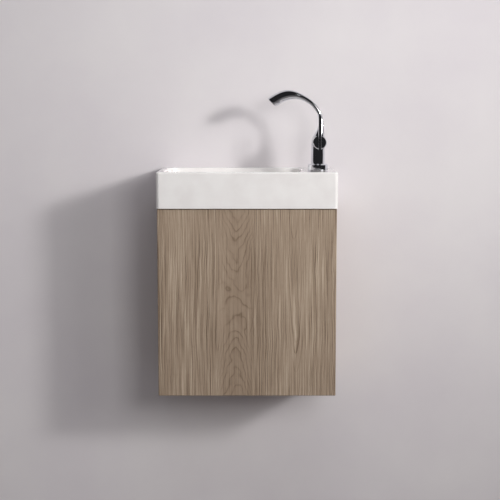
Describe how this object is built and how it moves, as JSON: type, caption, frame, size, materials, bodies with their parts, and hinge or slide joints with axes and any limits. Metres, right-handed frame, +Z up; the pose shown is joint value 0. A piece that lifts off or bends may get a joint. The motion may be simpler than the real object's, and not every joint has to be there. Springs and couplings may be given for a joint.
{
  "type": "vanity unit",
  "caption": "wall-hung cloakroom vanity unit: white block basin, chrome swan-neck tap with a side lever on its right ledge, greige oak slab-door cabinet",
  "frame": {"origin": "the centre of the wall screw pattern, on the wall's face", "axes": "+X to the right seen from the front, +Y into the wall, +Z up"},
  "size_m": [0.4, 0.22, 0.6804],
  "materials": {
    "basin_ceramic": "gloss",
    "door_oak": "satin",
    "carcass_oak": "satin",
    "tap_chrome": "polished",
    "waste_chrome": "polished",
    "tap_brass": "satin",
    "trap_plastic": "gloss",
    "seal_rubber": "matte",
    "fixing_steel": "satin",
    "hinge_nickel": "satin",
    "screw_steel": "satin",
    "cam_zinc": "satin",
    "dowel_beech": "matte",
    "hanger_plastic": "matte",
    "cartridge_plastic": "matte",
    "carrier_plastic": "matte",
    "aerator_plastic": "matte",
    "latch_plastic": "matte",
    "plunger_plastic": "matte",
    "bumper_rubber": "matte",
    "lever_cap_plastic": "gloss"
  },
  "bodies": {
    "cabinet_and_basin": {"basin": "basin_ceramic", "side_panel_left": "carcass_oak", "side_panel_right": "carcass_oak", "bottom_panel": "carcass_oak", "front_rail": "carcass_oak", "upper_back_rail": "carcass_oak", "lower_back_rail": "carcass_oak", "cam_locks": "cam_zinc", "cam_bolts": "screw_steel", "dowels": "dowel_beech", "hanger_boxes": "hanger_plastic", "hanger_hooks": "fixing_steel", "hanger_screws": "screw_steel", "wall_plates": "fixing_steel", "hinge_arms": "hinge_nickel", "hinge_plates": "hinge_nickel", "hinge_arm_screws": "screw_steel", "panel_screws": "screw_steel", "latch_housing": "latch_plastic", "latch_spring": "screw_steel", "waste_body": "waste_chrome", "waste_top_seal": "seal_rubber", "waste_bottom_seal": "seal_rubber", "waste_backnut": "tap_brass", "waste_guide": "trap_plastic", "trap_inlet_nut": "trap_plastic", "trap_inlet_washer": "seal_rubber", "trap_body": "trap_plastic", "trap_cup": "trap_plastic", "trap_cup_seal": "seal_rubber", "trap_outlet_nut": "trap_plastic", "trap_outlet_washer": "seal_rubber", "tap_flange": "tap_chrome", "tap_base_seal": "seal_rubber", "tap_body": "tap_chrome", "tap_spout": "tap_chrome", "aerator_housing": "tap_chrome", "aerator_insert": "aerator_plastic", "cartridge_housing": "cartridge_plastic", "cartridge_nut": "tap_chrome", "tap_stud": "tap_brass", "tap_fixing_washer": "seal_rubber", "tap_fixing_plate": "fixing_steel", "tap_stud_nut": "tap_brass"},
    "door_assembly": {"door": "door_oak", "hinge_cups": "hinge_nickel", "hinge_pins": "hinge_nickel", "door_screws": "screw_steel", "door_striker": "fixing_steel", "door_bumpers": "bumper_rubber"},
    "plunger": {"latch_plunger": "plunger_plastic"},
    "carrier": {"cartridge_carrier": "carrier_plastic", "lever_pivot_pin": "screw_steel"},
    "lever_assembly": {"lever": "tap_chrome", "lever_rod": "tap_chrome", "lever_stem": "tap_brass", "lever_cap": "lever_cap_plastic", "lever_grub_screw": "screw_steel"},
    "plug": {"waste_plug": "waste_chrome", "waste_plug_seal": "seal_rubber"}
  },
  "joints": [
    {"name": "door_swing", "type": "hinge", "parent": "cabinet_and_basin", "child": "door_assembly", "pos_m": [-0.191, -0.2085, -0.163], "axis": [0, 0, -1], "range_deg": [0, 100]},
    {"name": "latch_push", "type": "slide", "parent": "cabinet_and_basin", "child": "plunger", "axis": [0, -1, 0], "range_m": [0, 0.02]},
    {"name": "lever_turn", "type": "hinge", "parent": "cabinet_and_basin", "child": "carrier", "pos_m": [0.16215, -0.13197, 0.191], "axis": [0.0523, -0.9986, 0], "range_deg": [-45, 45]},
    {"name": "lever_tilt", "type": "hinge", "parent": "carrier", "child": "lever_assembly", "pos_m": [0.16215, -0.13197, 0.191], "axis": [0.9986, 0.0523, 0], "range_deg": [0, 18]},
    {"name": "plug_lift", "type": "slide", "parent": "cabinet_and_basin", "child": "plug", "axis": [0, 0, 1], "range_m": [0, 0.008]}
  ],
  "couplings": [
    {"joint": "latch_push", "follows": "door_swing", "m_per_rad": 0.0114}
  ]
}
